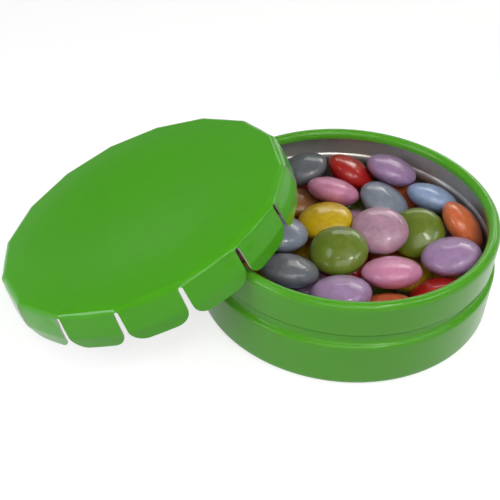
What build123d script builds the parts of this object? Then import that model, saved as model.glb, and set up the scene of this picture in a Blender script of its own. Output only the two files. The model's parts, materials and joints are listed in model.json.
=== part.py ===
from build123d import *
import math
import os

import numpy as np

# A press-to-open tin: a drawn steel cup, a one-piece lid with sixteen skirt
# fingers that grip the cup's groove, and its filling of sugar-coated lentils.
# The lid has been taken off and leans on the cup's rim. The origin is the
# centre of the cup's foot, +Z is up, and the lid leans down towards -X.
# Lengths are in millimetres and angles in degrees.

# Sheet steel
sheet = 0.3

# Cup
body_radius = 32.7
cup_radius = 32.0
cup_height = 20.7
foot_bend = 1.4
rim_curl_width = 2.45
rim_lip = 0.6
groove_depth = 0.4
groove_foot_height = 10.1
groove_foot_slope_height = 1.4
groove_floor_width = 1.15
groove_shoulder_slope_height = 0.9

# Lid
finger_count = 16
lid_across_flats = 65.0
lid_edge_bend = 0.8
lid_collar_depth = 0.85
border_width = 4.5
panel_gap = 0.1
panel_dish = 1.2
finger_depth = 8.4
finger_kink_depth = 5.5
finger_flare = 9.0
finger_hook = 15.0
kink_radius = 2.5
slot_width = 0.9
finger_corner = 3.2
hinge_gap = 0.12

# Where the lid leans: the centre of its top, how far a finger's middle is
# turned from the way up the slope, and how near it comes to the table and the
# rim. Its tilt and height follow from these.
lid_offset_x = -45.15
lid_offset_y = -1.2
lid_turn = 12.05
table_gap = 0.08
lean_gap = 0.5

# Sugar-coated lentils
lentil_radius = 6.2
lentil_half_height = 3.05
lentil_shoulder_shares = (0.45, 0.86)
lentil_gap = 0.2
filling_gap = 0.25
filling_headroom = 1.8
filling_share = 0.415

# Points along a finger tip's corner, and steps that find the lid's tilt
corner_point_count = 9
tilt_step_count = 40

# How the filling settles, in lentil radii rounded to as many decimals
settle_step_count = 900
settle_decimal_count = 9
pulled_share = 0.6
push_share = 0.35
contact_weight_shares = (0.3, 0.4, 0.5, 0.6, 0.7)

# Lentils seen from above: share of the way from the axis to the wall, turn
# about the axis, height as a share of the cup's height, lean of the short
# axis, the way that it leans, and the share of its way home that the lentil
# is pulled at each step
seen_lentil_shares = {
    "grey_blue": (0.75, 110, 0.70, 21, 158, 0.06),
    "red": (0.69, 86, 0.70, 32, 25, 0.06),
    "lilac": (0.81, 61, 0.70, 21, 38, 0.06),
    "brown": (0.57, 124, 0.65, 16, 65, 0.02),
    "pink": (0.38, 87, 0.71, 32, 66, 0.06),
    "pale_grey": (0.50, 50, 0.71, 24, 1, 0.06),
    "periwinkle": (0.74, 37, 0.65, 31, 52, 0.03),
    "yellow": (0.20, 148, 0.77, 11, 160, 0.06),
    "olive_right": (0.56, 3, 0.74, 24, -117, 0.06),
    "orange": (0.84, 8, 0.70, 47, 6, 0.06),
    "mauve_middle": (0.23, -22, 0.78, 14, -108, 0.06),
    "mauve_small": (0.28, 69, 0.53, 9, 124, 0.01),
    "olive_left": (0.30, -101, 0.74, 15, -125, 0.06),
    "grey_edge": (0.43, -161, 0.73, 9, 62, 0.06),
    "slate": (0.59, -127, 0.73, 24, 73, 0.06),
    "yellow_edge": (0.75, -144, 0.62, 6, 102, 0.02),
    "pink_front": (0.54, -62, 0.76, 26, 100, 0.06),
    "yellow_right": (0.47, -19, 0.53, 16, 44, 0.01),
    "lilac_right": (0.76, -26, 0.76, 16, 141, 0.06),
    "lilac_front": (0.67, -99, 0.71, 19, 111, 0.06),
    "orange_front": (0.74, -71, 0.67, 19, 108, 0.03),
    "red_front": (0.80, -46, 0.67, 25, 131, 0.03),
    "grey_left": (0.80, 168, 0.62, 12, 20, 0.01),
    "lilac_left": (0.80, 140, 0.60, 10, 200, 0.01),
    "pink_left": (0.80, -170, 0.60, 10, 80, 0.01),
    "red_left": (0.50, 170, 0.46, 8, 0, 0.005),
}

# Rings of hidden lentils: count, share of the way to the wall, height share,
# first turn and lean
hidden_ring_shares = (
    (10, 0.80, 0.165, 0, 0),
    (5, 0.40, 0.165, 10, 0),
    (1, 0.01, 0.165, 0, 0),
    (2, 0.78, 0.42, 60, 12),
)
hidden_group_names = ("yellow", "lilac", "green", "red", "orange", "blue")

os.makedirs("parts", exist_ok=True)


def write_piece(piece, name):
    piece.part.label = name
    export_step(piece.part, f"parts/{name}.step")
    bounds = piece.part.bounding_box()
    print(f"{name:24s} z {bounds.min.Z:7.2f} to {bounds.max.Z:7.2f}  volume {piece.part.volume:9.2f}")


# Cup: one sheet, from the middle of the foot to the lip inside the rolled rim.
# Its body is a little wider than its neck, which the closed lid goes over.
groove_radius = cup_radius - groove_depth
groove_floor_height = groove_foot_height + groove_foot_slope_height
groove_floor_top = groove_floor_height + groove_floor_width
groove_shoulder_height = groove_floor_top + groove_shoulder_slope_height
curl_radius = rim_curl_width / 2
curl_height = cup_height - curl_radius
lip_radius = cup_radius - rim_curl_width

with BuildPart() as tin_base:
    with BuildSketch(Plane.XZ):
        with BuildLine():
            Line((0, 0), (body_radius - foot_bend, 0))
            CenterArc((body_radius - foot_bend, foot_bend), foot_bend, -90, 90)
            Line((body_radius, foot_bend), (body_radius, groove_foot_height))
            foot_middle = ((body_radius + groove_radius) / 2, (groove_foot_height + groove_floor_height) / 2)
            TangentArc((body_radius, groove_foot_height), foot_middle, tangent=(0, 1))
            TangentArc((groove_radius, groove_floor_height), foot_middle, tangent=(0, -1))
            Line((groove_radius, groove_floor_height), (groove_radius, groove_floor_top))
            shoulder_middle = ((cup_radius + groove_radius) / 2, (groove_floor_top + groove_shoulder_height) / 2)
            TangentArc((groove_radius, groove_floor_top), shoulder_middle, tangent=(0, 1))
            TangentArc((cup_radius, groove_shoulder_height), shoulder_middle, tangent=(0, -1))
            Line((cup_radius, groove_shoulder_height), (cup_radius, curl_height))
            CenterArc((cup_radius - curl_radius, curl_height), curl_radius, 0, 180)
            Line((lip_radius, curl_height), (lip_radius, curl_height - rim_lip))
            offset(amount=sheet, side=Side.LEFT)
        make_face()
    revolve(axis=Axis.Z)
write_piece(tin_base, "tin_base")

# Lid: sixteen straight sides, each with a finger that hangs from the collar,
# flares out, and turns in again below its kink to grip the cup's groove
finger_turn = 360 / finger_count
half_turn = math.radians(finger_turn / 2)
lid_apothem = lid_across_flats / 2
panel_radius = lid_apothem - border_width
flare = math.radians(finger_flare)
hook_lean = math.radians(finger_flare - finger_hook)
kink_reach = lid_apothem + finger_kink_depth * math.tan(flare)
tip_reach = kink_reach + (finger_depth - finger_kink_depth) * math.tan(hook_lean)
side_width = 2 * lid_apothem * math.tan(half_turn)
finger_width = side_width - slot_width
finger_top = lid_collar_depth + hinge_gap


def leaning_tips(tilt):
    """Points along the fingers' lower edges, for a lid whose lowest point is at the table's gap."""
    turns = np.radians(lid_turn + finger_turn * np.arange(finger_count))[:, None]
    corner_turns = np.linspace(0, math.pi / 2, corner_point_count)
    corner_sides = finger_width / 2 - finger_corner * (1 - np.cos(corner_turns))
    corner_depths = finger_depth - finger_corner * (1 - np.sin(corner_turns))
    flat_sides = np.linspace(corner_sides[-1], 0, corner_point_count)
    sides = np.concatenate([corner_sides, flat_sides])
    sides = np.concatenate([sides, -sides])
    depths = np.concatenate([corner_depths, np.full(corner_point_count, finger_depth)])
    depths = np.concatenate([depths, depths])
    reaches = tip_reach + (finger_depth - depths) * math.tan(-hook_lean)
    up_slope = reaches * np.cos(turns) - sides * np.sin(turns)
    across = reaches * np.sin(turns) + sides * np.cos(turns)
    heights = up_slope * math.sin(tilt) - depths * math.cos(tilt)
    centre_height = table_gap - heights.min()
    x = lid_offset_x + up_slope * math.cos(tilt) + depths * math.sin(tilt)
    return x, lid_offset_y + across, heights + centre_height, centre_height


def rim_clearance(tilt):
    """How far the leaning fingers are from the cup's wall and the rolled rim on it."""
    x, y, heights, _ = leaning_tips(tilt)
    off_curl = np.hypot(x, y) - (cup_radius - curl_radius)
    return (np.hypot(off_curl, np.maximum(heights - curl_height, 0)) - curl_radius).min()


# The steeper it leans, the clearer it stands: halve the range until it just clears
flattest, steepest = 0, math.pi / 4
for step in range(tilt_step_count):
    tilt = (flattest + steepest) / 2
    if rim_clearance(tilt) < lean_gap:
        flattest = tilt
    else:
        steepest = tilt
lid_centre_height = leaning_tips(tilt)[-1]
print(f"lid tilt {math.degrees(tilt):.4f}, centre height {lid_centre_height:.4f}")

# The lid's own plane, with the normal out of its top and X up the slope
lid_plane = Plane(
    origin=(lid_offset_x, lid_offset_y, lid_centre_height),
    x_dir=(math.cos(tilt), 0, math.sin(tilt)),
    z_dir=(-math.sin(tilt), 0, math.cos(tilt)),
)
lid_axis = Axis(lid_plane.origin, lid_plane.z_dir)


def collar_solid(inset, depth, bend):
    """The lid's collar as a filled block: a polygon that widens downwards, with a bent top edge."""
    with BuildPart() as block:
        with BuildSketch(lid_plane.offset(-inset)):
            RegularPolygon(
                radius=(lid_apothem + inset * math.tan(flare) - inset / math.cos(flare)) / math.cos(half_turn),
                side_count=finger_count,
                rotation=lid_turn + finger_turn / 2,
            )
        extrude(amount=-depth, taper=-finger_flare)
        top_edges = block.faces().sort_by(lid_axis)[-1].edges()
        fillet(top_edges, radius=bend)
    return block.part


outer_collar = collar_solid(0, lid_collar_depth, lid_edge_bend)
inner_collar = collar_solid(sheet, lid_collar_depth, lid_edge_bend - sheet)

with BuildPart() as lid_rim:
    add(outer_collar)
    add(inner_collar, mode=Mode.SUBTRACT)
    with BuildSketch(lid_plane.offset(sheet)):
        Circle(panel_radius + panel_gap)
    extrude(amount=-3 * sheet, mode=Mode.SUBTRACT)
write_piece(lid_rim, "lid_rim")

# Panel: the dished middle of the lid, which clicks up and down inside the collar
dish_radius = (panel_radius**2 + panel_dish**2) / (2 * panel_dish)
dish_turn = math.degrees(math.asin(panel_radius / dish_radius))
section_plane = Plane(
    origin=lid_plane.origin,
    x_dir=lid_plane.x_dir,
    z_dir=lid_plane.x_dir.cross(lid_plane.z_dir),
)

with BuildPart() as lid_panel:
    with BuildSketch(section_plane):
        with BuildLine():
            CenterArc((0, dish_radius - panel_dish), dish_radius, -90, dish_turn)
            offset(amount=sheet, side=Side.RIGHT)
        make_face()
    revolve(axis=lid_axis)
write_piece(lid_panel, "lid_panel")

# Skirt fingers
for index in range(finger_count):
    turn = lid_turn + index * finger_turn
    outward = lid_plane.x_dir.rotate(Axis((0, 0, 0), lid_plane.z_dir), turn)
    finger_plane = Plane(
        origin=lid_plane.origin,
        x_dir=outward,
        z_dir=outward.cross(lid_plane.z_dir),
    )
    front_plane = Plane(
        origin=lid_plane.origin,
        x_dir=lid_plane.z_dir.cross(outward),
        z_dir=outward,
    )
    with BuildPart() as finger:
        with BuildSketch(finger_plane):
            with BuildLine():
                FilletPolyline(
                    (lid_apothem + finger_top * math.tan(flare), -finger_top),
                    (kink_reach, -finger_kink_depth),
                    (tip_reach, -finger_depth),
                    radius=kink_radius,
                )
                offset(amount=sheet, side=Side.RIGHT)
            make_face()
        extrude(amount=finger_width / 2, both=True)
        with BuildSketch(front_plane) as front:
            with Locations((0, -finger_depth)):
                Rectangle(finger_width, finger_depth, align=(Align.CENTER, Align.MIN))
            fillet(front.vertices().group_by(Axis.Y)[0], radius=finger_corner)
        extrude(amount=2 * kink_reach, mode=Mode.INTERSECT)
    write_piece(finger, f"lid_finger_{index + 1:02d}")

# Filling: the lentils settle until none crosses another, the cup or the space
# under the rim. The seen ones are drawn back to their places meanwhile. They
# settle in units of a lentil's radius, so that a tin of another scale settles alike.


def in_radii(length):
    return round(length / lentil_radius, settle_decimal_count)


wall_reach = in_radii(min(groove_radius, body_radius) - sheet - filling_gap)
lowest = in_radii(sheet + filling_gap)
highest = in_radii(cup_height - filling_headroom)
big = in_radii(lentil_radius + lentil_gap / 2)
small = in_radii(lentil_half_height + lentil_gap / 2)


def placed(reach_share, turn, height_share, lean, way):
    """A lentil's centre, and the direction of its short axis."""
    turn, lean, way = (math.radians(angle) for angle in (turn, lean, way))
    reach = reach_share * wall_reach
    centre = (reach * math.cos(turn), reach * math.sin(turn), height_share * in_radii(cup_height))
    short_axis = (math.sin(lean) * math.cos(way), math.sin(lean) * math.sin(way), math.cos(lean))
    return centre, short_axis


def ring_of_lentils(count, reach_share, height_share, first_turn, lean):
    """Hidden lentils in a ring, each leaning in towards the axis."""
    turns = [first_turn + index * 360 / count for index in range(count)]
    return [placed(reach_share, turn, height_share, -lean, turn) for turn in turns]


def touching(centres, shapes, first, second):
    """Each close pair, the direction of its contact and how far it overlaps."""
    apart = centres[second] - centres[first]
    close = np.linalg.norm(apart, axis=1) < 2 * big
    first, second, apart = first[close], second[close], apart[close]
    best = np.zeros(len(apart))
    normals = np.array(apart)
    for weight in contact_weight_shares:
        blend = (1 - weight) * shapes[first] + weight * shapes[second]
        normal = np.linalg.solve(blend, apart[:, :, None])[:, :, 0]
        contact = weight * (1 - weight) * np.sum(apart * normal, axis=1)
        better = contact > best
        best[better] = contact[better]
        normals[better] = normal[better]
    normals /= np.linalg.norm(normals, axis=1)[:, None]
    overlaps = np.sum(apart * normals, axis=1) * (1 / np.sqrt(best) - 1)
    return first, second, normals, overlaps


def settled(homes, short_axes, pulls):
    """Lentil centres after settling, as close to their homes as their pulls bring them."""
    centres = homes.copy()
    round_part = big**2 * np.eye(3)
    shapes = round_part - (big**2 - small**2) * short_axes[:, :, None] * short_axes[:, None, :]
    half_heights = np.sqrt(shapes[:, 2, 2])
    first, second = np.triu_indices(len(centres), 1)
    for step in range(settle_step_count):
        if step < settle_step_count * pulled_share:
            centres += pulls[:, None] * (homes - centres)
        near_first, near_second, normals, overlaps = touching(centres, shapes, first, second)
        push = push_share * np.maximum(overlaps, 0)[:, None] * normals
        np.add.at(centres, near_first, -push)
        np.add.at(centres, near_second, push)
        centres[:, 2] = np.clip(centres[:, 2], lowest + half_heights, highest - half_heights)
        reach = np.hypot(centres[:, 0], centres[:, 1])
        outward = np.column_stack([centres[:, 0], centres[:, 1], np.zeros(len(reach))]) / reach[:, None]
        half_widths = np.sqrt(np.einsum("ni,nij,nj->n", outward, shapes, outward))
        centres -= outward * np.maximum(reach + half_widths - wall_reach, 0)[:, None]
    crossing = lentil_radius * touching(centres, shapes, first, second)[3].max()
    print(f"{len(centres)} lentils cross by {crossing:.3f} before their gap")
    return centres


seen_places = [placed(*shares[:5]) for shares in seen_lentil_shares.values()]
seen_pulls = [shares[5] for shares in seen_lentil_shares.values()]
space_volume = math.pi * wall_reach**2 * (highest - lowest)
lentil_volume = 4 / 3 * math.pi * big**2 * small
hidden_count = round(filling_share * space_volume / lentil_volume) - len(seen_places)
hidden_places = [place for ring in hidden_ring_shares for place in ring_of_lentils(*ring)]
hidden_places = hidden_places[:max(hidden_count, len(hidden_group_names))]
places = seen_places + hidden_places
short_axes = np.array([place[1] for place in places])
pulls = np.array(seen_pulls + [0.0] * len(hidden_places))
centres = lentil_radius * settled(np.array([place[0] for place in places]), short_axes, pulls)


# Points of the ellipse between a lentil's middle and its edge, on its lower side
shoulders = [
    (lentil_radius * share, -lentil_half_height * math.sqrt(1 - share**2))
    for share in lentil_shoulder_shares
]


def lentil_section(centre, short_axis):
    """Half of a lentil's outline, on a plane through its short axis."""
    across = Vector(0, 1, 0).cross(short_axis).normalized()
    return Plane(origin=centre, x_dir=across, z_dir=across.cross(short_axis))


def write_lentils(name, indexes):
    """One node of lentils, each a separate solid turned about its own short axis."""
    with BuildPart() as lentils:
        for index in indexes:
            centre = Vector(*centres[index])
            short_axis = Vector(*short_axes[index])
            with BuildSketch(lentil_section(centre, short_axis)):
                with BuildLine():
                    Spline(
                        (0, -lentil_half_height),
                        *shoulders,
                        (lentil_radius, 0),
                        *[(reach, -height) for reach, height in reversed(shoulders)],
                        (0, lentil_half_height),
                        tangents=((1, 0), (-1, 0)),
                    )
                    Line((0, -lentil_half_height), (0, lentil_half_height))
                make_face()
            revolve(axis=Axis(centre, short_axis))
    write_piece(lentils, name)


for index, name in enumerate(seen_lentil_shares):
    write_lentils(f"lentil_{name}", [index])

for group, name in enumerate(hidden_group_names):
    write_lentils(f"lentils_below_{name}", range(len(seen_places) + group, len(places), len(hidden_group_names)))
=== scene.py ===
import json
import math
from typing import NamedTuple

import bmesh
import bpy
import numpy as np
from bpy.props import FloatProperty, FloatVectorProperty, IntProperty, PointerProperty
from bpy.types import Operator, Panel, PropertyGroup
from mathutils import Matrix, Vector


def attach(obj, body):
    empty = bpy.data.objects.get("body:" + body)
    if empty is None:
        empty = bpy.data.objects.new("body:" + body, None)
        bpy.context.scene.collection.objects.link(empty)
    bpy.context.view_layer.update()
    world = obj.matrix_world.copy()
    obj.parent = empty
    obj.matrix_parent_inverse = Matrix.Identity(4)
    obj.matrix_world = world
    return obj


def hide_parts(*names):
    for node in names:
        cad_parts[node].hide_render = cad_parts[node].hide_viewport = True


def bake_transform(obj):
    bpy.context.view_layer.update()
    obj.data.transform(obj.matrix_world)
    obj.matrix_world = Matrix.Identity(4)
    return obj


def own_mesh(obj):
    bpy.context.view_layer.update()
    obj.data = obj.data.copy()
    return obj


bl_info = {
    "name": "Click-lid sweet tin",
    "version": (1, 0, 0),
    "blender": (4, 5, 0),
    "location": "3D View > Sidebar > Sweet tin",
    "description": "Dresses a press-to-open tin, its leaning lid and its filling of sugar-coated lentils",
    "category": "Object",
}

# A press-to-open tin: a drawn cup with a rolled rim and a pressed groove, a
# one-piece lid with skirt fingers that leans on the rim, and the sweets inside.
# Lengths are in metres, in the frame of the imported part: the origin is the
# centre of the cup's foot, +Z is up, and the lid leans down towards -X.

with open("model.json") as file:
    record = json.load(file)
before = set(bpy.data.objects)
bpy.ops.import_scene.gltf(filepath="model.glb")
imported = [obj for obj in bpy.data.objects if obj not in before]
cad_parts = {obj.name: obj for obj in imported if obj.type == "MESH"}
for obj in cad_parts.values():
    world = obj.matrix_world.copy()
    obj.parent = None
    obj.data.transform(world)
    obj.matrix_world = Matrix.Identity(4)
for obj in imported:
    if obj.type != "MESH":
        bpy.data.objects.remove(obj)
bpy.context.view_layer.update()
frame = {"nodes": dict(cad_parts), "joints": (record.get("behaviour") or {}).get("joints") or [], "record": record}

MM = 0.001
JOINTS = {joint["name"]: joint for joint in frame["joints"]}
FINGER_JOINTS = sorted(name for name in JOINTS if name.startswith("finger_"))
FINGER_COUNT = len(FINGER_JOINTS)
LID_NORMAL = Vector(JOINTS["panel_click"]["axis"]).normalized()


def linear(red, green, blue):
    """A colour given as sRGB screen values from 0 to 255, as the linear values that shaders use."""
    shares = [value / 255 for value in (red, green, blue)]
    return tuple(
        share / 12.92 if share <= 0.04045 else ((share + 0.055) / 1.055) ** 2.4
        for share in shares
    )


def length(name, text, default):
    """A size setting, its default given in millimetres."""
    return FloatProperty(name=name, description=text, default=default * MM, precision=5, unit="LENGTH")


def angle(name, text, degrees):
    """An angle setting, its default given in degrees."""
    return FloatProperty(name=name, description=text, default=math.radians(degrees), subtype="ANGLE")


def brightness(name, text, default):
    """A setting for the brightness of something."""
    return FloatProperty(name=name, description=text, default=default, min=0)


def colour(name, text, red, green, blue):
    """A colour setting, its default given as screen values."""
    return FloatVectorProperty(
        name=name, description=text, size=3, subtype="COLOR", min=0, max=1, default=linear(red, green, blue)
    )


class CupSettings(PropertyGroup):
    """Sizes of the drawn cup."""

    sheet: length("Sheet", "Thickness of the tinplate", 0.3)
    body_radius: length("Body radius", "Outer radius of the wall below the groove", 32.7)
    radius: length("Radius", "Outer radius of the neck and the rolled rim", 32)
    height: length("Height", "Height over the rolled rim", 20.7)
    foot_bend: length("Foot bend", "Outer radius of the bend at the foot", 1.4)
    curl_width: length("Curl width", "Width of the rolled rim", 2.45)
    lip: length("Lip", "Straight end of the sheet below the rolled rim", 0.6)
    groove_depth: length("Groove depth", "How far the groove is pressed in from the neck", 0.4)
    groove_foot: length("Groove foot", "Height where the groove begins", 10.1)
    groove_lower_slope: length("Lower slope", "Height of the groove's lower slope", 1.4)
    groove_floor: length("Groove floor", "Height of the groove's flat floor", 1.15)
    groove_upper_slope: length("Upper slope", "Height of the groove's upper slope", 0.9)
    turns: IntProperty(name="Facets", description="Steps around the cup", default=256, min=32)


class LidSettings(PropertyGroup):
    """Sizes of the lid with its skirt of fingers."""

    across_flats: length("Across flats", "Width of the many-sided lid at the level of its top", 65)
    bend: length("Edge bend", "Outer radius of the bend from the top into the skirt", 1.6)
    corner: length("Corner", "Rounding of the corners between the sides", 1.6)
    panel_radius: length("Panel radius", "Radius of the part of the top that clicks", 28)
    panel_dish: length("Panel dish", "How far the panel is pressed in", 1.2)
    flare: angle("Flare", "How far the fingers lean out", 9)
    hook: angle("Hook", "How far the fingers turn in again at the kink", 15)
    kink_depth: length("Kink depth", "Depth of the kink below the top", 5.5)
    kink_radius: length("Kink radius", "Outer radius of the kink", 2.5)
    depth: length("Skirt depth", "Depth of the fingers' tips below the top", 8.4)
    slot: length("Slot", "Width of the slots between the fingers", 0.9)
    slot_top: length("Slot top", "Depth of the slots' round ends below the top", 0.6)
    seam: length("Finger root", "Depth at which a finger begins to bend", 0.85)
    flex_end: length("Flex end", "Depth below which a finger turns as a whole", 2.8)
    tip_corner: length("Tip corner", "Rounding of the fingers' lower corners", 3.2)
    bow: length("Finger bow", "How far a finger's middle stands out before its sides", 0.12)
    hinge_depth: length("Hinge depth", "Depth of the packed part's finger joints below the top", 0.91)
    dent: length("Dent", "How far the sheet is buckled in beside the most dented slot", 0.28)
    dent_inset: length("Dent inset", "How far a dent's middle lies beside its slot", 2.2)
    dent_depth: length("Dent depth", "Depth of a dent's middle below the top", 1.7)
    dent_width: length("Dent width", "Reach of a dent along the side", 2)
    dent_height: length("Dent height", "Reach of a dent down the skirt", 1.1)
    dented_slot: IntProperty(
        name="Dented slot", description="Number of the slot with the deepest dents", default=14, min=0
    )


class FinishSettings(PropertyGroup):
    """Colours and gloss of the lacquer, the tinplate and the sugar shells."""

    lid_green: colour("Lid green", "Lacquer on the lid", 74, 165, 18)
    cup_green: colour("Cup green", "Lacquer on the cup", 81, 161, 33)
    tin: colour("Tinplate", "Bare tinplate", 196, 193, 190)
    sweet_yellow: colour("Yellow", "Yellow sweets", 204, 170, 14)
    sweet_olive: colour("Olive", "Olive green sweets", 104, 124, 34)
    sweet_mauve: colour("Mauve", "Mauve sweets", 177, 135, 157)
    sweet_lilac: colour("Lilac", "Lilac sweets", 159, 126, 166)
    sweet_pink: colour("Pink", "Pink sweets", 202, 129, 163)
    sweet_grey: colour("Grey", "Grey-blue sweets", 127, 134, 150)
    sweet_slate: colour("Slate", "Slate grey sweets", 102, 105, 112)
    sweet_blue: colour("Blue", "Periwinkle sweets", 146, 165, 201)
    sweet_red: colour("Red", "Red sweets", 172, 30, 24)
    sweet_orange: colour("Orange", "Orange sweets", 206, 104, 60)
    sweet_brown: colour("Brown", "Brown sweets", 150, 102, 62)


class StageSettings(PropertyGroup):
    """The camera's place, the floor and the lamps."""

    camera_place: FloatVectorProperty(
        name="Camera place", description="Where the camera stands", size=3, subtype="TRANSLATION",
        default=(-16.695 * MM, -136.087 * MM, 120.052 * MM),
    )
    camera_forward: FloatVectorProperty(
        name="Camera forward", description="Where the camera looks", size=3, subtype="DIRECTION",
        default=(-0.0243, 0.76873, -0.63911),
    )
    camera_right: FloatVectorProperty(
        name="Camera right", description="The picture's way to the right", size=3, subtype="DIRECTION",
        default=(0.99902, 0.04227, 0.01286),
    )
    lens: FloatProperty(name="Lens", description="Focal length", default=56.34, unit="CAMERA")
    floor_reach: length("Floor reach", "How far the floor goes from the tin", 20000)
    horizon: brightness("Horizon", "Brightness of the pale surroundings low down", 1)
    ceiling: brightness("Ceiling", "Brightness of the surroundings overhead", 0.15)
    lamp_level: brightness("Lamp level", "Brightness of all lamps together", 1)


# Meshes

MERGE_DISTANCE = MM / 1000
SHARP_EDGE = math.radians(38)
# Kinds of faces: the lacquered skin, and the bare side with the cut edges
SKIN, REST = 0, 1


def new_mesh_object(name, points, faces, materials, kinds):
    """An object of points and faces, smooth but for sharp edges; a face's kind is its material's number."""
    mesh = bpy.data.meshes.new(name)
    mesh.from_pydata([tuple(point) for point in points], [], faces)
    for material in materials:
        mesh.materials.append(material)
    mesh.polygons.foreach_set("material_index", kinds)
    made = bpy.data.objects.new(name, mesh)
    bpy.context.scene.collection.objects.link(made)
    shape = bmesh.new()
    shape.from_mesh(mesh)
    bmesh.ops.remove_doubles(shape, verts=shape.verts, dist=MERGE_DISTANCE)
    bmesh.ops.recalc_face_normals(shape, faces=shape.faces)
    shape.to_mesh(mesh)
    shape.free()
    mesh.shade_smooth()
    mesh.set_sharp_from_angle(angle=SHARP_EDGE)
    return made


def arc(centre, radius, start, end, steps):
    """Points on an arc, whose angles are in degrees."""
    turns = np.radians(np.linspace(start, end, steps + 1))
    return [(centre[0] + radius * math.cos(turn), centre[1] + radius * math.sin(turn)) for turn in turns]


def run(start, end, steps):
    """Points on a straight line."""
    return [tuple(point) for point in np.linspace(start, end, steps + 1)]


def double_bend(start, end, steps):
    """Two equal tangent arcs from one vertical line to the next, upwards."""
    across = end[0] - start[0]
    rise = end[1] - start[1]
    radius = (rise**2 + across**2) / (4 * abs(across))
    swing = 2 * math.degrees(math.atan2(abs(across), rise))
    side = math.copysign(1, across)
    first_centre = (start[0] + side * radius, start[1])
    second_centre = (end[0] - side * radius, end[1])
    if side > 0:
        first = arc(first_centre, radius, 180, 180 - swing, steps)
        second = arc(second_centre, radius, -swing, 0, steps)
    else:
        first = arc(first_centre, radius, 0, swing, steps)
        second = arc(second_centre, radius, 180 + swing, 180, steps)
    return first + second[1:]


def joined(*stretches):
    """One line from stretches that end where the next begins."""
    line = list(stretches[0])
    for stretch in stretches[1:]:
        line += stretch[1:]
    return line


def beside(line, distance):
    """The line moved to its left by a distance."""
    points = np.array(line)
    ways = np.gradient(points, axis=0)
    ways /= np.linalg.norm(ways, axis=1)[:, None]
    return points + distance * np.column_stack([-ways[:, 1], ways[:, 0]])


def revolved(name, outer, inner, turns, materials):
    """A closed sheet turned about Z: its outer line is the skin, and the rest is its other side."""
    line = list(map(tuple, outer)) + list(map(tuple, inner[::-1]))
    rows = len(line)
    points = [
        (reach * math.cos(turn), reach * math.sin(turn), height)
        for turn in np.linspace(0, 2 * math.pi, turns, endpoint=False)
        for reach, height in line
    ]
    faces, kinds = [], []
    for step in range(turns):
        here, there = step * rows, (step + 1) % turns * rows
        for row in range(rows - 1):
            faces.append((here + row, here + row + 1, there + row + 1, there + row))
            kinds.append(SKIN if row < len(outer) - 1 else REST)
    return new_mesh_object(name, points, faces, materials, kinds)


# Shader building blocks

# The mottle's finer patches, as a multiple of its scale and as a share of its strength
FINE_SCALE = 3.7
FINE_SHARE = 0.38
# How steeply a hairline mark rises past its threshold
SCUFF_GAIN = 8.0
# How far a band of heights fades on each side of its ends
BAND_EDGE = 0.2 * MM
# Metallic of the cup's inner wall below and above the bead: the higher value below darkens the lower wall as
# painted shade. The bead's roughness goes with its painted highlight.
METAL_BELOW_BEAD_PAINTED_SHADE = 0.97
METAL_ABOVE_BEAD = 0.55
BEAD_ROUGHNESS = 0.34


def node(tree, kind, inputs=None, **settings):
    """A shader node with its settings, and its inputs as values or as sockets to link from."""
    made = tree.nodes.new(kind)
    for setting, value in settings.items():
        setattr(made, setting, value)
    set_inputs(tree, made, inputs or {})
    return made


def set_inputs(tree, made, inputs):
    """Sets a shader node's inputs to values, or links them from sockets."""
    for name, value in inputs.items():
        if isinstance(value, bpy.types.NodeSocket):
            tree.links.new(value, made.inputs[name])
        else:
            made.inputs[name].default_value = value


def mixed_values(tree, factor, first, second):
    """A value between two."""
    mix = node(tree, "ShaderNodeMix", {"Factor": factor, "A": first, "B": second}, data_type="FLOAT")
    return mix.outputs["Result"]


def mixed_colours(tree, factor, first, second):
    """A colour between two."""
    mix = node(tree, "ShaderNodeMix", {"Factor": factor, "A": first, "B": second}, data_type="RGBA")
    return mix.outputs["Result"]


def new_group(name, inputs, outputs):
    """An empty shader node group with named sockets, and its input and output nodes."""
    group = bpy.data.node_groups.new(name, "ShaderNodeTree")
    for socket_name, kind, default in inputs:
        socket = group.interface.new_socket(name=socket_name, in_out="INPUT", socket_type=kind)
        if default is not None:
            socket.default_value = default
    for socket_name, kind in outputs:
        group.interface.new_socket(name=socket_name, in_out="OUTPUT", socket_type=kind)
    return group, group.nodes.new("NodeGroupInput"), group.nodes.new("NodeGroupOutput")


def placed_group(tree, group, inputs):
    """A node group placed in a material with its own values."""
    return node(tree, "ShaderNodeGroup", inputs, node_tree=group)


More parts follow.
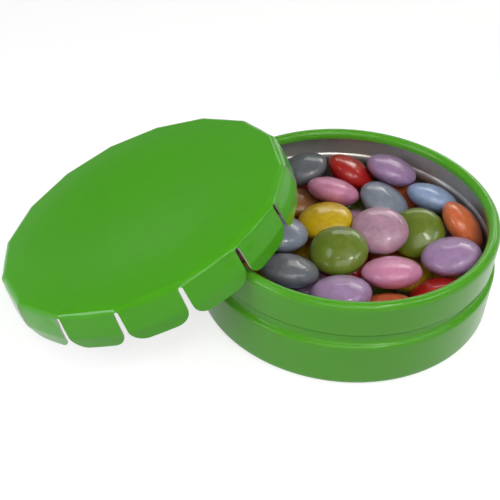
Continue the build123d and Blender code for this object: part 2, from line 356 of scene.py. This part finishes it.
def mottle_group():
    """Soft cloudy patches in two sizes, as a colour between two and as a height."""
    group, entry, end = new_group(
        "soft_mottle",
        [
            ("Vector", "NodeSocketVector", None),
            ("Scale", "NodeSocketFloat", 300.0),
            ("Deep", "NodeSocketColor", None),
            ("Pale", "NodeSocketColor", None),
            ("Contrast", "NodeSocketFloat", 1.0),
        ],
        [("Colour", "NodeSocketColor"), ("Mask", "NodeSocketFloat"), ("Height", "NodeSocketFloat")],
    )
    vector, scale = entry.outputs["Vector"], entry.outputs["Scale"]
    broad = node(
        group, "ShaderNodeTexNoise", {"Vector": vector, "Scale": scale, "Detail": 3.0, "Roughness": 0.55}
    )
    finer = node(group, "ShaderNodeMath", {0: scale, 1: FINE_SCALE}, operation="MULTIPLY")
    fine = node(
        group, "ShaderNodeTexNoise",
        {"Vector": vector, "Scale": finer.outputs[0], "Detail": 4.0, "Roughness": 0.6},
    )
    both = mixed_values(group, FINE_SHARE, broad.outputs["Fac"], fine.outputs["Fac"])
    middle = node(group, "ShaderNodeMath", {0: both, 1: 0.5}, operation="SUBTRACT")
    gain = node(
        group, "ShaderNodeMath", {0: middle.outputs[0], 1: entry.outputs["Contrast"]}, operation="MULTIPLY"
    )
    mask = node(group, "ShaderNodeMath", {0: gain.outputs[0], 1: 0.5}, operation="ADD", use_clamp=True)
    mix = mixed_colours(group, mask.outputs[0], entry.outputs["Deep"], entry.outputs["Pale"])
    group.links.new(mix, end.inputs["Colour"])
    group.links.new(mask.outputs[0], end.inputs["Mask"])
    group.links.new(both, end.inputs["Height"])
    return group


def scuff_group():
    """Sparse hairline marks, as a mask."""
    group, entry, end = new_group(
        "fine_scuffs",
        [
            ("Vector", "NodeSocketVector", None),
            ("Scale", "NodeSocketFloat", 400.0),
            ("Stretch", "NodeSocketVector", (1.0, 0.06, 0.3)),
            ("Threshold", "NodeSocketFloat", 0.7),
        ],
        [("Mask", "NodeSocketFloat")],
    )
    stretched = node(
        group, "ShaderNodeVectorMath", {0: entry.outputs["Vector"], 1: entry.outputs["Stretch"]},
        operation="MULTIPLY",
    )
    noise = node(
        group, "ShaderNodeTexNoise",
        {"Vector": stretched.outputs[0], "Scale": entry.outputs["Scale"], "Detail": 2.0, "Roughness": 0.5},
    )
    over = node(
        group, "ShaderNodeMath",
        {0: noise.outputs["Fac"], 1: entry.outputs["Threshold"]}, operation="SUBTRACT",
    )
    mask = node(
        group, "ShaderNodeMath", {0: over.outputs[0], 1: SCUFF_GAIN}, operation="MULTIPLY", use_clamp=True
    )
    group.links.new(mask.outputs[0], end.inputs["Mask"])
    return group


def shared_group(name, maker):
    """A node group made once and used by every material that needs it."""
    return bpy.data.node_groups.get(name) or maker()


def new_material(name):
    """A material with an empty Principled shader; returns it, its node tree and that shader."""
    material = bpy.data.materials.new(name)
    material.use_nodes = True
    tree = material.node_tree
    return material, tree, tree.nodes["Principled BSDF"]


def scaled(tone, factor):
    """A linear colour made darker or paler, with full alpha."""
    return tuple(min(1, part * factor) for part in tone) + (1,)


def lacquer(name, tone):
    """Stoved gloss lacquer: faint clouding, a wavy sheet, an orange-peel skin and hairline marks."""
    material, tree, shader = new_material(name)
    place = node(tree, "ShaderNodeTexCoord").outputs["Object"]
    clouds = placed_group(
        tree, shared_group("soft_mottle", mottle_group),
        {
            "Vector": place, "Scale": 60.0, "Contrast": 1.2,
            "Deep": scaled(tone, 0.94), "Pale": scaled(tone, 1.06),
        },
    )
    scuffs = placed_group(
        tree, shared_group("fine_scuffs", scuff_group),
        {"Vector": place, "Scale": 900.0, "Stretch": (1.0, 0.1, 0.4), "Threshold": 0.7},
    )
    rough = node(
        tree, "ShaderNodeMapRange", {"Value": scuffs.outputs["Mask"], "To Min": 0.3, "To Max": 0.42}
    )
    wave = node(tree, "ShaderNodeTexNoise", {"Vector": place, "Scale": 150.0, "Detail": 1.0})
    waviness = node(
        tree, "ShaderNodeBump", {"Height": wave.outputs["Fac"], "Strength": 1.0, "Distance": 0.1 * MM}
    )
    peel = node(tree, "ShaderNodeTexNoise", {"Vector": place, "Scale": 900.0, "Detail": 1.0})
    bump = node(
        tree, "ShaderNodeBump",
        {
            "Height": peel.outputs["Fac"], "Strength": 0.05, "Distance": 0.02 * MM,
            "Normal": waviness.outputs["Normal"],
        },
    )
    set_inputs(tree, shader, {
        "Base Color": clouds.outputs["Colour"],
        "Roughness": rough.outputs["Result"],
        "Specular IOR Level": 0.15,
        "Coat Weight": 0.4,
        "Coat Roughness": 0.05,
        "Normal": bump.outputs["Normal"],
    })
    return material


def tinplate(name, tone, bead=None):
    """Bare tinplate, drawn upwards: cloudy grey with fine draw lines.

    A bead, given by two heights, gets a paler colour as a painted highlight, and the wall below it is more
    metallic than the wall above, which darkens it as painted shade.
    """
    material, tree, shader = new_material(name)
    place = node(tree, "ShaderNodeTexCoord").outputs["Object"]
    clouds = placed_group(
        tree, shared_group("soft_mottle", mottle_group),
        {
            "Vector": place, "Scale": 160.0, "Contrast": 1.5,
            "Deep": scaled(tone, 0.8), "Pale": scaled(tone, 1.15),
        },
    )
    lines = placed_group(
        tree, shared_group("fine_scuffs", scuff_group),
        {"Vector": place, "Scale": 1500.0, "Stretch": (1.0, 1.0, 0.04), "Threshold": 0.52},
    )
    rough = node(
        tree, "ShaderNodeMapRange", {"Value": lines.outputs["Mask"], "To Min": 0.48, "To Max": 0.6}
    )
    look = {
        "Base Color": clouds.outputs["Colour"],
        "Metallic": 0.65,
        "Roughness": rough.outputs["Result"],
    }
    if bead is not None:
        # The bead's band is painted pale: a painted highlight where the bead's slope catches the light.
        painted_highlight_band = height_band(tree, place, *bead)
        painted_bead_highlight = placed_group(
            tree, shared_group("soft_mottle", mottle_group),
            {
                "Vector": place, "Scale": 900.0, "Contrast": 2.5,
                "Deep": scaled(tone, 1.2), "Pale": scaled(tone, 1.75),
            },
        )
        look["Base Color"] = mixed_colours(tree, painted_highlight_band, look["Base Color"], painted_bead_highlight.outputs["Colour"])
        # The wall below the bead is made more metallic, so that it renders darker: painted shade.
        height = node(tree, "ShaderNodeSeparateXYZ", {"Vector": place}).outputs["Z"]
        look["Metallic"] = node(
            tree, "ShaderNodeMapRange",
            {
                "Value": height, "From Min": bead[0] - MM, "From Max": bead[0],
                "To Min": METAL_BELOW_BEAD_PAINTED_SHADE, "To Max": METAL_ABOVE_BEAD,
            },
        ).outputs["Result"]
        look["Roughness"] = mixed_values(tree, painted_highlight_band, look["Roughness"], BEAD_ROUGHNESS)
    bump = node(
        tree, "ShaderNodeBump", {"Height": lines.outputs["Mask"], "Strength": 0.15, "Distance": 0.02 * MM}
    )
    set_inputs(tree, shader, look | {"Normal": bump.outputs["Normal"]})
    return material


def height_band(tree, place, low, high):
    """A mask that is 1 between two heights, with soft ends."""
    height = node(tree, "ShaderNodeSeparateXYZ", {"Vector": place}).outputs["Z"]
    up = node(
        tree, "ShaderNodeMapRange",
        {"Value": height, "From Min": low - BAND_EDGE, "From Max": low + BAND_EDGE},
    )
    down = node(
        tree, "ShaderNodeMapRange",
        {"Value": height, "From Min": high + BAND_EDGE, "From Max": high - BAND_EDGE},
    )
    return node(
        tree, "ShaderNodeMath", {0: up.outputs["Result"], 1: down.outputs["Result"]}, operation="MULTIPLY"
    ).outputs[0]


def sugar_shell(name, tone):
    """Polished sugar shell: mottled where the colour took unevenly, faintly dimpled, with a waxy gloss."""
    material, tree, shader = new_material(name)
    place = node(tree, "ShaderNodeTexCoord").outputs["Object"]
    mottle = placed_group(
        tree, shared_group("soft_mottle", mottle_group),
        {
            "Vector": place, "Scale": 560.0, "Contrast": 2.8,
            "Deep": scaled(tone, 0.82), "Pale": scaled(tone, 1.2),
        },
    )
    bump = node(
        tree, "ShaderNodeBump",
        {"Height": mottle.outputs["Height"], "Strength": 0.25, "Distance": 0.08 * MM},
    )
    rough = node(
        tree, "ShaderNodeMapRange", {"Value": mottle.outputs["Mask"], "To Min": 0.32, "To Max": 0.44}
    )
    set_inputs(tree, shader, {
        "Base Color": mottle.outputs["Colour"],
        "Roughness": rough.outputs["Result"],
        "Specular IOR Level": 0.25,
        "Coat Weight": 0.6,
        "Coat Roughness": 0.09,
        "Normal": bump.outputs["Normal"],
    })
    return material


# The lid's shape

# The dents' depths follow a wave round the lid: its low, as a share of the deepest dent,
# and its turn from one slot to the next, in radians
LEAST_DENT_SHARE = 0.15
DENT_TURN = 1.9


class LidShape:
    """Places on the lid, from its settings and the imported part's finger joints."""

    def __init__(self, settings, sheet):
        self.settings = settings
        self.sheet = sheet
        self.apothem = settings.across_flats / 2
        self.half_turn = math.pi / FINGER_COUNT
        self.half_side = self.apothem * math.tan(self.half_turn)
        self.flat_half = self.half_side - settings.corner * math.tan(self.half_turn)
        hinges = [Vector(JOINTS[name]["pos_m"]) for name in FINGER_JOINTS]
        self.centre = sum(hinges, Vector()) / FINGER_COUNT + LID_NORMAL * settings.hinge_depth
        self.outwards = [Vector(JOINTS[name]["axis"]).cross(LID_NORMAL) for name in FINGER_JOINTS]
        turned = math.pi / 2 - settings.flare
        self.bend_inset = settings.bend * math.tan(turned / 2)
        self.bend_end = settings.bend * (1 - math.cos(turned))
        kink_inset = settings.kink_radius * math.tan(settings.hook / 2)
        self.kink_reach = settings.kink_depth * math.tan(settings.flare)
        self.kink_start = settings.kink_depth - kink_inset * math.cos(settings.flare)
        self.kink_end = settings.kink_depth + kink_inset * math.cos(settings.hook - settings.flare)
        self.kink_centre = (
            self.kink_start * math.tan(settings.flare) - settings.kink_radius * math.cos(settings.flare),
            -self.kink_start - settings.kink_radius * math.sin(settings.flare),
        )

    def bend_row(self, turned):
        """Reach beyond the flats, depth and outward lean of the surface on the bend into the skirt."""
        bend = self.settings.bend
        reach = bend * math.sin(turned) - self.bend_inset
        return reach, bend * (1 - math.cos(turned)), math.pi / 2 - turned

    def skirt_row(self, depth):
        """The same, at a depth on the bend or below it."""
        settings = self.settings
        if depth < self.bend_end:
            return self.bend_row(math.acos(1 - depth / settings.bend))
        if depth < self.kink_start:
            return depth * math.tan(settings.flare), depth, settings.flare
        if depth < self.kink_end:
            lean = math.asin((-depth - self.kink_centre[1]) / settings.kink_radius)
            return self.kink_centre[0] + settings.kink_radius * math.cos(lean), depth, lean
        lean = settings.flare - settings.hook
        return self.kink_reach + (depth - settings.kink_depth) * math.tan(lean), depth, lean

    def half_width(self, depth):
        """Half of a side's width at a depth: full above the slots, a finger's below them."""
        settings = self.settings
        slot_radius = settings.slot / 2
        if depth <= settings.slot_top:
            return self.half_side
        width = self.half_side - slot_radius
        round_centre = settings.slot_top + slot_radius
        if depth < round_centre:
            width = self.half_side - math.sqrt(slot_radius**2 - (round_centre - depth) ** 2)
        into_tip = depth - (settings.depth - settings.tip_corner)
        if into_tip > 0:
            cut = settings.tip_corner - math.sqrt(max(settings.tip_corner**2 - into_tip**2, 0))
            width -= cut
        return width

    def place(self, side, along, row, inward=0.0):
        """The point at a distance along a side, on a row of the profile, below its skin by inward."""
        reach, depth, lean = row
        outward = self.outwards[side]
        across = LID_NORMAL.cross(outward)
        beyond = abs(along) - self.flat_half
        corner = self.settings.corner
        reach -= inward * math.cos(lean) + self.dent(side, along, depth)
        depth += inward * math.sin(lean)
        if beyond <= 0:
            bow = self.bow(along, row[1])
            flat = outward * (self.apothem + reach + bow) + across * along
        else:
            turn = beyond / (self.half_side - self.flat_half) * self.half_turn
            way = math.copysign(1, along)
            middle = outward * (self.apothem - corner) + across * way * self.flat_half
            flat = middle + (outward * math.cos(turn) + across * way * math.sin(turn)) * (corner + reach)
        return self.centre + flat - LID_NORMAL * depth

    def dent(self, side, along, depth):
        """How far the sheet is buckled in beside a slot, which differs from slot to slot."""
        settings = self.settings
        slot = (side + (along > 0)) % FINGER_COUNT
        wave = math.cos(DENT_TURN * (slot - settings.dented_slot)) ** 2
        strength = LEAST_DENT_SHARE + (1 - LEAST_DENT_SHARE) * wave
        beside = (self.half_side - abs(along) - settings.dent_inset) / settings.dent_width
        below = (depth - settings.dent_depth) / settings.dent_height
        return settings.dent * strength * math.exp(-(beside**2) - below**2)

    def bow(self, along, depth):
        """How far a finger's middle stands proud below the bend, because its blank was round."""
        settings = self.settings
        fade = min(max((depth - self.bend_end) / (settings.kink_depth - self.bend_end), 0), 1)
        return settings.bow * fade * (1 - 2 * (along / self.half_side) ** 2)


def strip_faces(first, second):
    """Quads between two rows of point numbers."""
    return [
        (first[index], first[index + 1], second[index + 1], second[index])
        for index in range(len(first) - 1)
    ]


ACROSS_STEPS = 28


def across_shares():
    """Shares of a side's half width from one end to the other, closer together at the ends."""
    turns = np.linspace(-math.pi / 2, math.pi / 2, ACROSS_STEPS + 1)
    return [0.5 * math.sin(turn) + 0.5 * turn / (math.pi / 2) for turn in turns]


def skirt_grid(shape, side, rows, open_from, closed_top):
    """One side of the skirt as a sheet: its points, faces and kinds of faces.

    Its upright edges are closed from the row number open_from down, and its upper edge if closed_top.
    """
    points, faces, kinds = [], [], []
    skins = []
    for inward in (0.0, shape.sheet):
        skin = []
        for row in rows:
            width = shape.half_width(row[1])
            numbers = []
            for part in across_shares():
                numbers.append(len(points))
                points.append(shape.place(side, part * width, row, inward))
            skin.append(numbers)
        skins.append(skin)
    for skin, kind in zip(skins, (SKIN, REST)):
        for upper, lower in zip(skin, skin[1:]):
            made = strip_faces(upper, lower)
            faces += made
            kinds += [kind] * len(made)
    outer, inner = skins
    edges = [(outer[-1], inner[-1])]
    if closed_top:
        edges.append((outer[0], inner[0]))
    for end in (0, -1):
        edges.append(([row[end] for row in outer[open_from:]], [row[end] for row in inner[open_from:]]))
    for first, second in edges:
        made = strip_faces(first, second)
        faces += made
        kinds += [REST] * len(made)
    return points, faces, kinds


def add_part(whole, part):
    """Adds the points, faces and kinds of a part to those of the whole."""
    points, faces, kinds = whole
    shift = len(points)
    points += part[0]
    faces += [tuple(number + shift for number in face) for face in part[1]]
    kinds += part[2]


# Operators: one for each piece or group of like pieces, and one for the stage

# Steps along the stretches of the cup's outline
FOOT_STEPS = 12
WALL_STEPS = 8
SHORT_STEPS = 2
CURL_STEPS = 28


def finish_materials():
    """The lacquers and the tinplate, made once."""
    looks = bpy.context.scene.tin_finish
    cup = bpy.context.scene.tin_cup
    bead_foot = cup.groove_foot + cup.groove_lower_slope + cup.groove_floor
    bead_top = bead_foot + cup.groove_upper_slope
    return {
        "lid": bpy.data.materials.get("lid_lacquer") or lacquer("lid_lacquer", looks.lid_green),
        "cup": bpy.data.materials.get("cup_lacquer") or lacquer("cup_lacquer", looks.cup_green),
        "tin": bpy.data.materials.get("bare_tinplate") or tinplate("bare_tinplate", looks.tin),
        # The cup's inner tinplate carries a painted highlight on the bead and painted shade below it.
        "cup_inside": bpy.data.materials.get("cup_tinplate")
        or tinplate("cup_tinplate", looks.tin, bead=(bead_foot, bead_top)),
    }


class SWEETTIN_OT_cup(Operator):
    """Makes the cup: lacquered outside and over its rolled rim, bare tinplate inside"""

    bl_idname = "sweettin.cup"
    bl_label = "Make the cup"

    def execute(self, context):
        cup = context.scene.tin_cup
        materials = finish_materials()
        inside = cup.radius - cup.groove_depth
        floor_low = cup.groove_foot + cup.groove_lower_slope
        floor_high = floor_low + cup.groove_floor
        shoulder = floor_high + cup.groove_upper_slope
        curl = cup.curl_width / 2
        curl_height = cup.height - curl
        lip = cup.radius - cup.curl_width
        outer = joined(
            run((0, 0), (cup.body_radius - cup.foot_bend, 0), FOOT_STEPS),
            arc((cup.body_radius - cup.foot_bend, cup.foot_bend), cup.foot_bend, -90, 0, FOOT_STEPS),
            run((cup.body_radius, cup.foot_bend), (cup.body_radius, cup.groove_foot), WALL_STEPS),
            double_bend((cup.body_radius, cup.groove_foot), (inside, floor_low), WALL_STEPS),
            run((inside, floor_low), (inside, floor_high), SHORT_STEPS),
            double_bend((inside, floor_high), (cup.radius, shoulder), WALL_STEPS),
            run((cup.radius, shoulder), (cup.radius, curl_height), WALL_STEPS),
            arc((cup.radius - curl, curl_height), curl, 0, 180, CURL_STEPS),
            run((lip, curl_height), (lip, curl_height - cup.lip), SHORT_STEPS),
        )
        inner = beside(outer, cup.sheet)
        made = revolved("cup_shell", outer, inner, cup.turns, [materials["cup"], materials["cup_inside"]])
        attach(made, "cup")
        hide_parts("tin_base")
        return {"FINISHED"}


# Rows of points down the lid's bend and past the slots' tops, and steps across its border
LID_BEND_ROWS = 16
SLOT_TOP_ROWS = 7
BORDER_STEPS = 6


class SWEETTIN_OT_lid_shell(Operator):
    """Makes the lid's many-sided border, its bend and the roots of its fingers"""

    bl_idname = "sweettin.lid_shell"
    bl_label = "Make the lid's border"

    def execute(self, context):
        settings = context.scene.tin_lid
        sheet = context.scene.tin_cup.sheet
        shape = LidShape(settings, sheet)
        materials = finish_materials()
        slot_turn = math.acos(1 - settings.slot_top / settings.bend)
        rows = [shape.bend_row(turned) for turned in np.linspace(0, slot_turn, LID_BEND_ROWS)]
        open_from = len(rows) - 1
        slot_depths = np.linspace(settings.slot_top, settings.seam, SLOT_TOP_ROWS)[1:]
        rows += [shape.skirt_row(depth) for depth in slot_depths]
        whole = ([], [], [])
        for side in range(FINGER_COUNT):
            add_part(whole, skirt_grid(shape, side, rows, open_from, False))
            add_part(whole, border_grid(shape, side, rows[0]))
        points, faces, kinds = whole
        sides = [materials["lid"], materials["tin"]]
        made = new_mesh_object("lid_border", points, faces, sides, kinds)
        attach(made, "lid")
        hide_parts("lid_rim")
        return {"FINISHED"}


def border_grid(shape, side, row):
    """The flat top of one side, from the bend in to the panel's edge."""
    points, faces, kinds = [], [], []
    skins = []
    for inward in (0.0, shape.sheet):
        skin = []
        for step in range(BORDER_STEPS + 1):
            numbers = []
            for part in across_shares():
                edge = shape.place(side, part * shape.half_side, row, inward)
                middle = shape.centre - LID_NORMAL * inward
                inner = middle + (edge - middle).normalized() * shape.settings.panel_radius
                numbers.append(len(points))
                points.append(edge.lerp(inner, step / BORDER_STEPS))
            skin.append(numbers)
        skins.append(skin)
    for skin, kind in zip(skins, (SKIN, REST)):
        for first, second in zip(skin, skin[1:]):
            made = strip_faces(first, second)
            faces += made
            kinds += [kind] * len(made)
    made = strip_faces(skins[0][-1], skins[1][-1])
    faces += made
    kinds += [REST] * len(made)
    return points, faces, kinds


PANEL_RINGS = 40


class SWEETTIN_OT_lid_panel(Operator):
    """Makes the dished panel that clicks"""

    bl_idname = "sweettin.lid_panel"
    bl_label = "Make the lid's panel"

    def execute(self, context):
        settings = context.scene.tin_lid
        sheet = context.scene.tin_cup.sheet
        shape = LidShape(settings, sheet)
        materials = finish_materials()
        top_row = shape.bend_row(0)
        ways = []
        for side in range(FINGER_COUNT):
            for part in across_shares()[:-1]:
                edge = shape.place(side, part * shape.half_side, top_row) - shape.centre
                ways.append(edge.normalized())
        points, faces, kinds, skins = [], [], [], []
        for inward in (0.0, sheet):
            skin = []
            for ring in range(1, PANEL_RINGS + 1):
                reach_share = ring / PANEL_RINGS
                reach = settings.panel_radius * reach_share
                sink = settings.panel_dish * (1 - reach_share**2) ** 2
                numbers = []
                for way in ways:
                    numbers.append(len(points))
                    points.append(shape.centre + way * reach - LID_NORMAL * (sink + inward))
                numbers.append(numbers[0])
                skin.append(numbers)
            tip = len(points)
            points.append(shape.centre - LID_NORMAL * (settings.panel_dish + inward))
            skins.append((skin, tip))
        for (skin, tip), kind in zip(skins, (SKIN, REST)):
            made = [(skin[0][index], skin[0][index + 1], tip) for index in range(len(ways))]
            for first, second in zip(skin, skin[1:]):
                made += strip_faces(first, second)
            faces += made
            kinds += [kind] * len(made)
        made = strip_faces(skins[0][0][-1], skins[1][0][-1])
        faces += made
        kinds += [REST] * len(made)
        sides = [materials["lid"], materials["tin"]]
        panel = new_mesh_object("lid_click_panel", points, faces, sides, kinds)
        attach(panel, "lid")
        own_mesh(panel)
        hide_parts("lid_panel")
        return {"FINISHED"}


# Rows of points down a finger's root, its straight part, its kink and its tip
ROOT_ROWS = 5
STRAIGHT_ROWS = 14
KINK_ROWS = 8
TIP_ROWS = 18


class SWEETTIN_OT_lid_fingers(Operator):
    """Makes the skirt's fingers, each from its root down to its tip"""

    bl_idname = "sweettin.lid_fingers"
    bl_label = "Make the lid's fingers"

    def execute(self, context):
        settings = context.scene.tin_lid
        shape = LidShape(settings, context.scene.tin_cup.sheet)
        materials = finish_materials()
        tip_start = settings.depth - settings.tip_corner
        kink_turn = math.asin((shape.kink_end - tip_start) / settings.tip_corner)
        tip_turns = np.linspace(kink_turn, math.pi / 2, TIP_ROWS)[1:]
        slot_round_end = settings.slot_top + settings.slot / 2
        depths = list(np.linspace(settings.seam, slot_round_end, ROOT_ROWS))
        depths += list(np.linspace(slot_round_end, shape.kink_start, STRAIGHT_ROWS)[1:])
        depths += list(np.linspace(shape.kink_start, shape.kink_end, KINK_ROWS)[1:])
        depths += [tip_start + settings.tip_corner * math.sin(turn) for turn in tip_turns]
        rows = [shape.skirt_row(depth) for depth in depths]
        sides = [materials["lid"], materials["tin"]]
        for side, joint in enumerate(FINGER_JOINTS):
            body = JOINTS[joint]["child"]
            points, faces, kinds = skirt_grid(shape, side, rows, 0, True)
            finger = new_mesh_object(f"lid_{body}_skin", points, faces, sides, kinds)
            root = shape.place(side, 0, shape.skirt_row(settings.seam))
            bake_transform(finger)
            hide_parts(f"lid_{body}")
        return {"FINISHED"}


class SWEETTIN_OT_lentils(Operator):
    """Gives every sweet its sugar shell"""

    bl_idname = "sweettin.lentils"
    bl_label = "Finish the sweets"

    def execute(self, context):
        looks = context.scene.tin_finish
        slots = {part["node"]: part["material_slot"] for part in frame["record"]["subparts"]}
        for name, made in frame["nodes"].items():
            if not name.startswith("lentil"):
                continue
            kind = slots[name].removeprefix("sugar_")
            material = bpy.data.materials.get(f"sugar_shell_{kind}")
            if material is None:
                material = sugar_shell(f"sugar_shell_{kind}", getattr(looks, f"sweet_{kind}"))
            made.data.materials.clear()
            made.data.materials.append(material)
            made.data.shade_smooth()
        return {"FINISHED"}


class Lamp(NamedTuple):
    """A rectangular lamp, and the way to it from the tin.

    Its distance and sizes are in millimetres, its power in watts and its spread in degrees.
    """

    name: str
    way: tuple
    distance: float
    width: float
    height: float
    power: float
    spread: float
    tint: tuple


# Lamps placed where the sweets, the rim and the lid's bend mirror them: cool ones on
# the left and right, a broad one in front, small ones for sparkle and warmer ones behind
LAMPS = (
    Lamp("high_left", (-0.5, -0.05, 0.85), 300, 100, 50, 0.05, 180, (0.84, 0.93, 1.0)),
    Lamp("low_left", (-0.83, -0.4, 0.4), 339, 190, 90, 0.35, 180, (0.9, 0.98, 1.0)),
    Lamp("broad_front", (0.05, -0.67, 0.74), 520, 380, 300, 0.74, 180, (1.0, 0.97, 0.9)),
    Lamp("front_sparkle", (0.33, -0.36, 0.87), 200, 30, 30, 0.008, 75, (1.0, 0.98, 0.94)),
    Lamp("front_fill", (0.33, -0.36, 0.87), 230, 170, 170, 0.027, 80, (1.0, 0.98, 0.94)),
    Lamp("cool_right", (0.66, -0.16, 0.73), 230, 90, 45, 0.01, 75, (0.84, 0.96, 1.0)),
    Lamp("left_sparkle", (-0.18, -0.29, 0.88), 300, 26, 26, 0.014, 180, (1.0, 0.88, 0.74)),
    Lamp("back_lamp", (0.39, 0.87, 0.42), 300, 80, 30, 0.05, 180, (1.0, 0.96, 0.9)),
    Lamp("back_strip", (0.17, 0.83, 0.52), 520, 430, 110, 0.4, 180, (1.0, 0.98, 0.95)),
    Lamp("back_sparkle", (0.64, 0.62, 0.5), 300, 26, 26, 0.018, 180, (1.0, 0.99, 0.97)),
)
CLIP_START = 10 * MM
LIT_PLACE = (0, 0, 18 * MM)
SKY_FADE = (math.radians(5), math.radians(18))
FLOOR_COLOUR = (0.42, 0.42, 0.42, 1)
FLOOR_LIFT = 0.72


class SWEETTIN_OT_stage(Operator):
    """Makes the floor, the sky, the lamps and the camera"""

    bl_idname = "sweettin.stage"
    bl_label = "Make the stage"

    def execute(self, context):
        scene = context.scene
        settings = scene.tin_stage
        scene.view_settings.view_transform = "Standard"
        floor_mesh = bpy.data.meshes.new("floor")
        reach = settings.floor_reach
        corners = [(-reach, -reach, 0), (reach, -reach, 0), (reach, reach, 0), (-reach, reach, 0)]
        floor_mesh.from_pydata(corners, [], [(0, 1, 2, 3)])
        floor = bpy.data.objects.new("floor", floor_mesh)
        scene.collection.objects.link(floor)
        floor_mesh.materials.append(floor_material())
        make_sky(scene, settings)
        for lamp in LAMPS:
            add_lamp(lamp, settings.lamp_level)
        camera_data = bpy.data.cameras.new("camera")
        camera = bpy.data.objects.new("camera", camera_data)
        scene.collection.objects.link(camera)
        forward = Vector(settings.camera_forward).normalized()
        right = Vector(settings.camera_right)
        right = (right - forward * right.dot(forward)).normalized()
        above = right.cross(forward)
        turned = Matrix((right, above, -forward)).transposed().to_4x4()
        camera.matrix_world = Matrix.Translation(settings.camera_place) @ turned
        camera_data.lens = settings.lens
        camera_data.clip_start = CLIP_START
        scene.camera = camera
        return {"FINISHED"}


def floor_material():
    """A matt floor that keeps the tin's shadow and is lifted to white where it is seen or mirrored."""
    material, tree, shader = new_material("pale_floor")
    path = node(tree, "ShaderNodeLightPath")
    seen = node(
        tree, "ShaderNodeMath",
        {0: path.outputs["Is Camera Ray"], 1: path.outputs["Is Glossy Ray"]}, operation="MAXIMUM",
    )
    seen = node(
        tree, "ShaderNodeMath",
        {0: seen.outputs[0], 1: path.outputs["Is Transmission Ray"]}, operation="MAXIMUM",
    )
    lift = node(tree, "ShaderNodeMath", {0: seen.outputs[0], 1: FLOOR_LIFT}, operation="MULTIPLY")
    set_inputs(tree, shader, {
        "Base Color": FLOOR_COLOUR,
        "Roughness": 0.9,
        "Specular IOR Level": 0.0,
        "Emission Color": (1, 1, 1, 1),
        "Emission Strength": lift.outputs[0],
    })
    return material


def make_sky(scene, settings):
    """Pale surroundings: white low down, as behind a studio table, and dimmer overhead."""
    world = bpy.data.worlds.new("sky")
    scene.world = world
    world.use_nodes = True
    tree = world.node_tree
    way = node(tree, "ShaderNodeTexCoord").outputs["Generated"]
    height = node(tree, "ShaderNodeSeparateXYZ", {"Vector": way}).outputs["Z"]
    low, high = (math.sin(turn) for turn in SKY_FADE)
    level = node(
        tree, "ShaderNodeMapRange",
        {
            "Value": height, "From Min": low, "From Max": high,
            "To Min": settings.horizon, "To Max": settings.ceiling,
        },
        interpolation_type="SMOOTHSTEP",
    )
    background = tree.nodes["Background"]
    background.inputs["Color"].default_value = (1, 1, 1, 1)
    tree.links.new(level.outputs["Result"], background.inputs["Strength"])


def add_lamp(lamp, level):
    """A soft lamp that faces the tin; its width lies level."""
    data = bpy.data.lights.new(lamp.name, "AREA")
    data.shape = "RECTANGLE"
    data.size = lamp.width * MM
    data.size_y = lamp.height * MM
    data.energy = lamp.power * level
    data.spread = math.radians(lamp.spread)
    data.color = lamp.tint
    made = bpy.data.objects.new(lamp.name, data)
    bpy.context.scene.collection.objects.link(made)
    way = Vector(lamp.way).normalized()
    made.location = Vector(LIT_PLACE) + way * lamp.distance * MM
    made.rotation_mode = "QUATERNION"
    made.rotation_quaternion = (-way).to_track_quat("-Z", "Y")


class SWEETTIN_PT_panel(Panel):
    """Lists what makes the tin, in order"""

    bl_idname = "SWEETTIN_PT_panel"
    bl_label = "Sweet tin"
    bl_space_type = "VIEW_3D"
    bl_region_type = "UI"
    bl_category = "Sweet tin"

    def draw(self, context):
        for name in OPERATORS:
            self.layout.operator(name)
        for group_name in SETTINGS:
            box = self.layout.box()
            group = getattr(context.scene, group_name)
            for setting in group.bl_rna.properties.keys():
                if setting not in ("rna_type", "name"):
                    box.prop(group, setting)


OPERATORS = (
    "sweettin.stage",
    "sweettin.cup",
    "sweettin.lid_shell",
    "sweettin.lid_panel",
    "sweettin.lid_fingers",
    "sweettin.lentils",
)
SETTINGS = {
    "tin_cup": CupSettings,
    "tin_lid": LidSettings,
    "tin_finish": FinishSettings,
    "tin_stage": StageSettings,
}
CLASSES = (
    *SETTINGS.values(),
    SWEETTIN_OT_stage,
    SWEETTIN_OT_cup,
    SWEETTIN_OT_lid_shell,
    SWEETTIN_OT_lid_panel,
    SWEETTIN_OT_lid_fingers,
    SWEETTIN_OT_lentils,
    SWEETTIN_PT_panel,
)


def register():
    for made in CLASSES:
        bpy.utils.register_class(made)
    for name, group in SETTINGS.items():
        setattr(bpy.types.Scene, name, PointerProperty(type=group))


def unregister():
    for name in SETTINGS:
        delattr(bpy.types.Scene, name)
    for made in reversed(CLASSES):
        bpy.utils.unregister_class(made)


def main():
    register()
    for name in OPERATORS:
        family, operator = name.split(".")
        getattr(getattr(bpy.ops, family), operator)()


if __name__ == "__main__":
    main()
